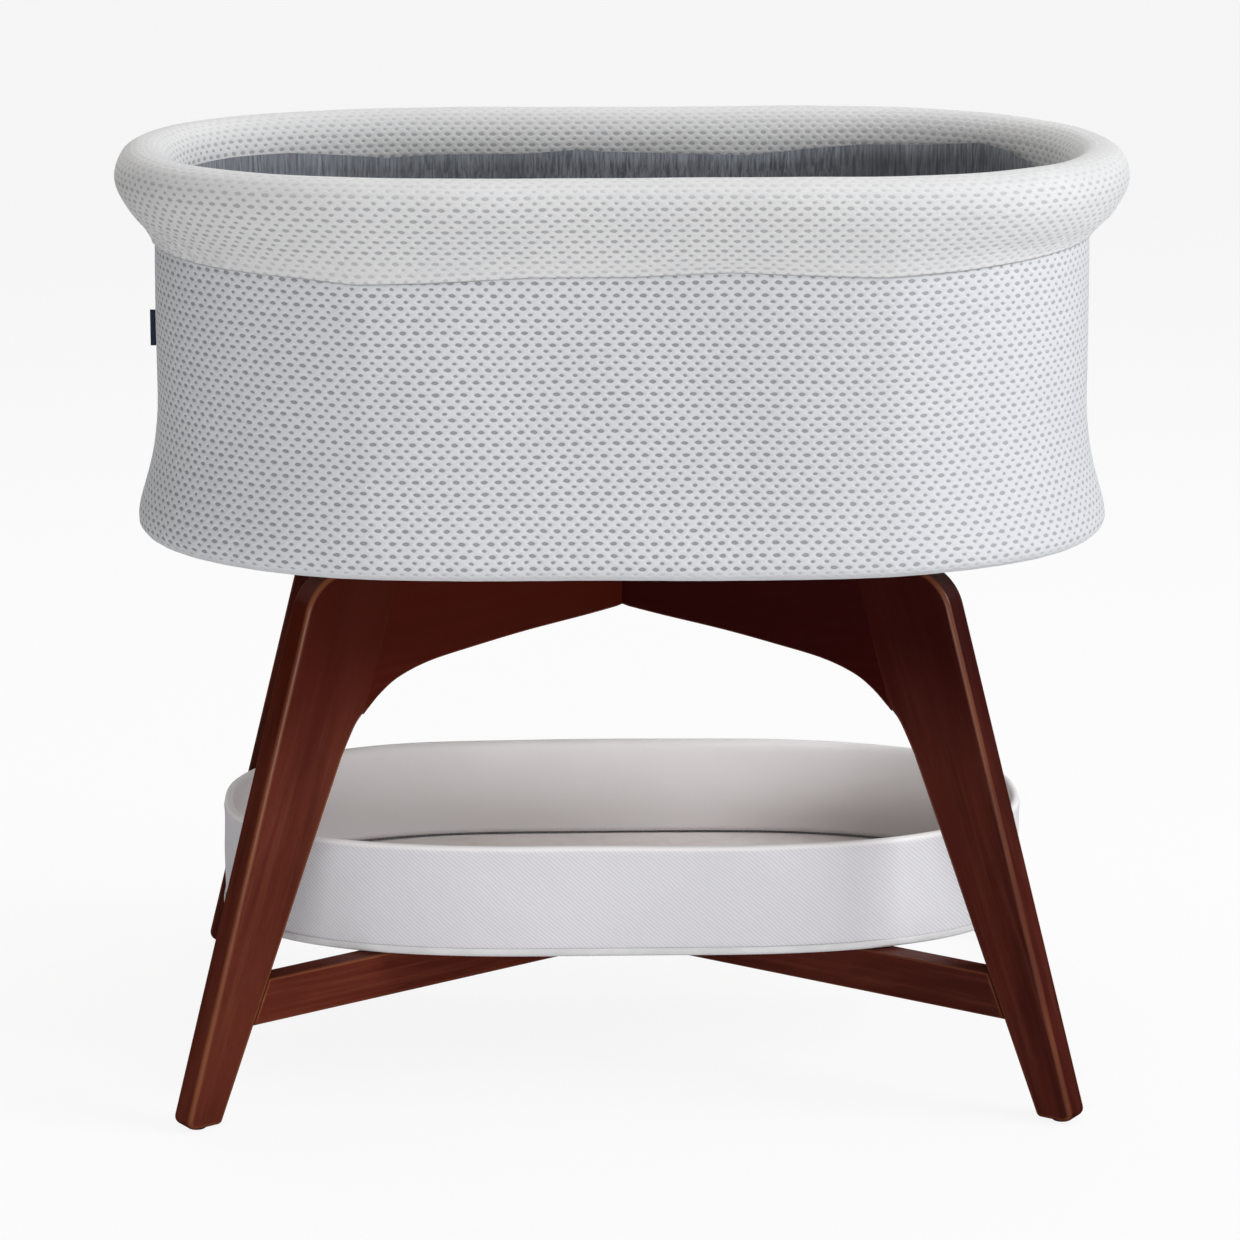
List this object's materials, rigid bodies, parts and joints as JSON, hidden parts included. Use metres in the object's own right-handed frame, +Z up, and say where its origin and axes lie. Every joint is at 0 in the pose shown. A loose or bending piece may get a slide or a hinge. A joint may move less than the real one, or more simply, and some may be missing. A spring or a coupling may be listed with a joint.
{
  "type": "bassinet on stand",
  "caption": "Oval mesh-walled bassinet with a padded rolled rim and sprung mattress deck, on a crossed dark wood stand with a fabric storage basket.",
  "frame": {"origin": "centre of the bounding box on the floor, where the glides stand", "axes": "+X along the long side towards the right-hand end, -Y towards the front, +Z up"},
  "size_m": [0.919, 0.577, 0.848],
  "materials": {
    "stained_wood": "satin dark reddish walnut lacquer, closed grain",
    "beech": "raw beech dowel",
    "glide": "black nylon glide",
    "wall_mesh": "white warp-knit spacer mesh with staggered grey lens-shaped holes",
    "rim_mesh": "the same spacer mesh wrapped round the rim roll",
    "inner_mesh": "breathable knit behind the liner",
    "liner_knit": "heathered grey-blue jersey with upright slubs",
    "foam": "open-cell foam",
    "mattress_ticking": "white knitted ticking over foam",
    "label_weave": "plain navy woven tape, blank",
    "board": "thin birch ply",
    "white_plastic": "moulded white polypropylene",
    "black_plastic": "moulded black ABS",
    "basket_twill": "pale grey-white fine diagonal twill",
    "binding": "light bias binding",
    "spring_steel": "drawn spring wire",
    "zinc_steel": "zinc-plated steel"
  },
  "bodies": {
    "stand_and_basin": {"base_pan": "white_plastic", "basin_bolt_1": "zinc_steel", "basin_bolt_2": "zinc_steel", "basin_bolt_3": "zinc_steel", "basin_bolt_4": "zinc_steel", "control_box": "black_plastic", "deck_spring_back_left": "spring_steel", "deck_spring_back_right": "spring_steel", "deck_spring_front_left": "spring_steel", "deck_spring_front_right": "spring_steel", "foot_glide_back_left": "glide", "foot_glide_back_right": "glide", "foot_glide_front_left": "glide", "foot_glide_front_right": "glide", "gear_housing": "black_plastic", "guide_tube_left": "white_plastic", "guide_tube_right": "white_plastic", "inner_mesh_wall": "inner_mesh", "knee_dowel_back_left": "beech", "knee_dowel_back_right": "beech", "knee_dowel_front_left": "beech", "knee_dowel_front_right": "beech", "label_tag": "label_weave", "leg_back_left": "stained_wood", "leg_back_right": "stained_wood", "leg_front_left": "stained_wood", "leg_front_right": "stained_wood", "lower_lap_screw": "zinc_steel", "lower_rail_a": "stained_wood", "lower_rail_b": "stained_wood", "outer_wall_cover": "wall_mesh", "power_inlet": "black_plastic", "rim_cover": "rim_mesh", "rim_foam": "foam", "rim_tube": "zinc_steel", "speaker": "black_plastic", "top_lap_screw": "zinc_steel", "top_rail_a": "stained_wood", "top_rail_b": "stained_wood", "wall_post_back_left": "zinc_steel", "wall_post_back_right": "zinc_steel", "wall_post_front_left": "zinc_steel", "wall_post_front_right": "zinc_steel", "well_liner": "liner_knit"},
    "deck": {"deck": "board", "deck_yoke": "zinc_steel", "guide_pin_left": "zinc_steel", "guide_pin_right": "zinc_steel"},
    "mattress": {"mattress": "mattress_ticking"},
    "crank": {"crank": "zinc_steel"},
    "link": {"lift_link": "white_plastic"},
    "basket": {"basket_shell": "basket_twill", "basket_board": "board", "basket_hem": "basket_twill", "basket_wire": "zinc_steel", "basket_binding": "binding"}
  },
  "joints": [
    {"name": "deck_bounce", "type": "slide", "parent": "stand_and_basin", "child": "deck", "axis": [0, 0, 1], "range_m": [-0.006, 0.006], "stiffness_N_per_m": 14000, "springref_m": 0.00351, "deforming": ["deck_spring_back_left", "deck_spring_back_right", "deck_spring_front_left", "deck_spring_front_right"]},
    {"name": "mattress_lift", "type": "slide", "parent": "deck", "child": "mattress", "axis": [0, 0, 1], "range_m": [0, 0.25]},
    {"name": "crank_spin", "type": "hinge", "parent": "stand_and_basin", "child": "crank", "pos_m": [0, 0, 0.532], "axis": [0, 1, 0], "continuous": true},
    {"name": "link_swing", "type": "hinge", "parent": "crank", "child": "link", "pos_m": [0.005, 0, 0.532], "axis": [0, 1, 0], "continuous": true},
    {"name": "basket_slide", "type": "slide", "parent": "stand_and_basin", "child": "basket", "axis": [1, 0, 0], "range_m": [-0.3, 0.3]}
  ],
  "couplings": [
    {"joint": "link_swing", "follows": "crank_spin", "ratio": -1}
  ]
}
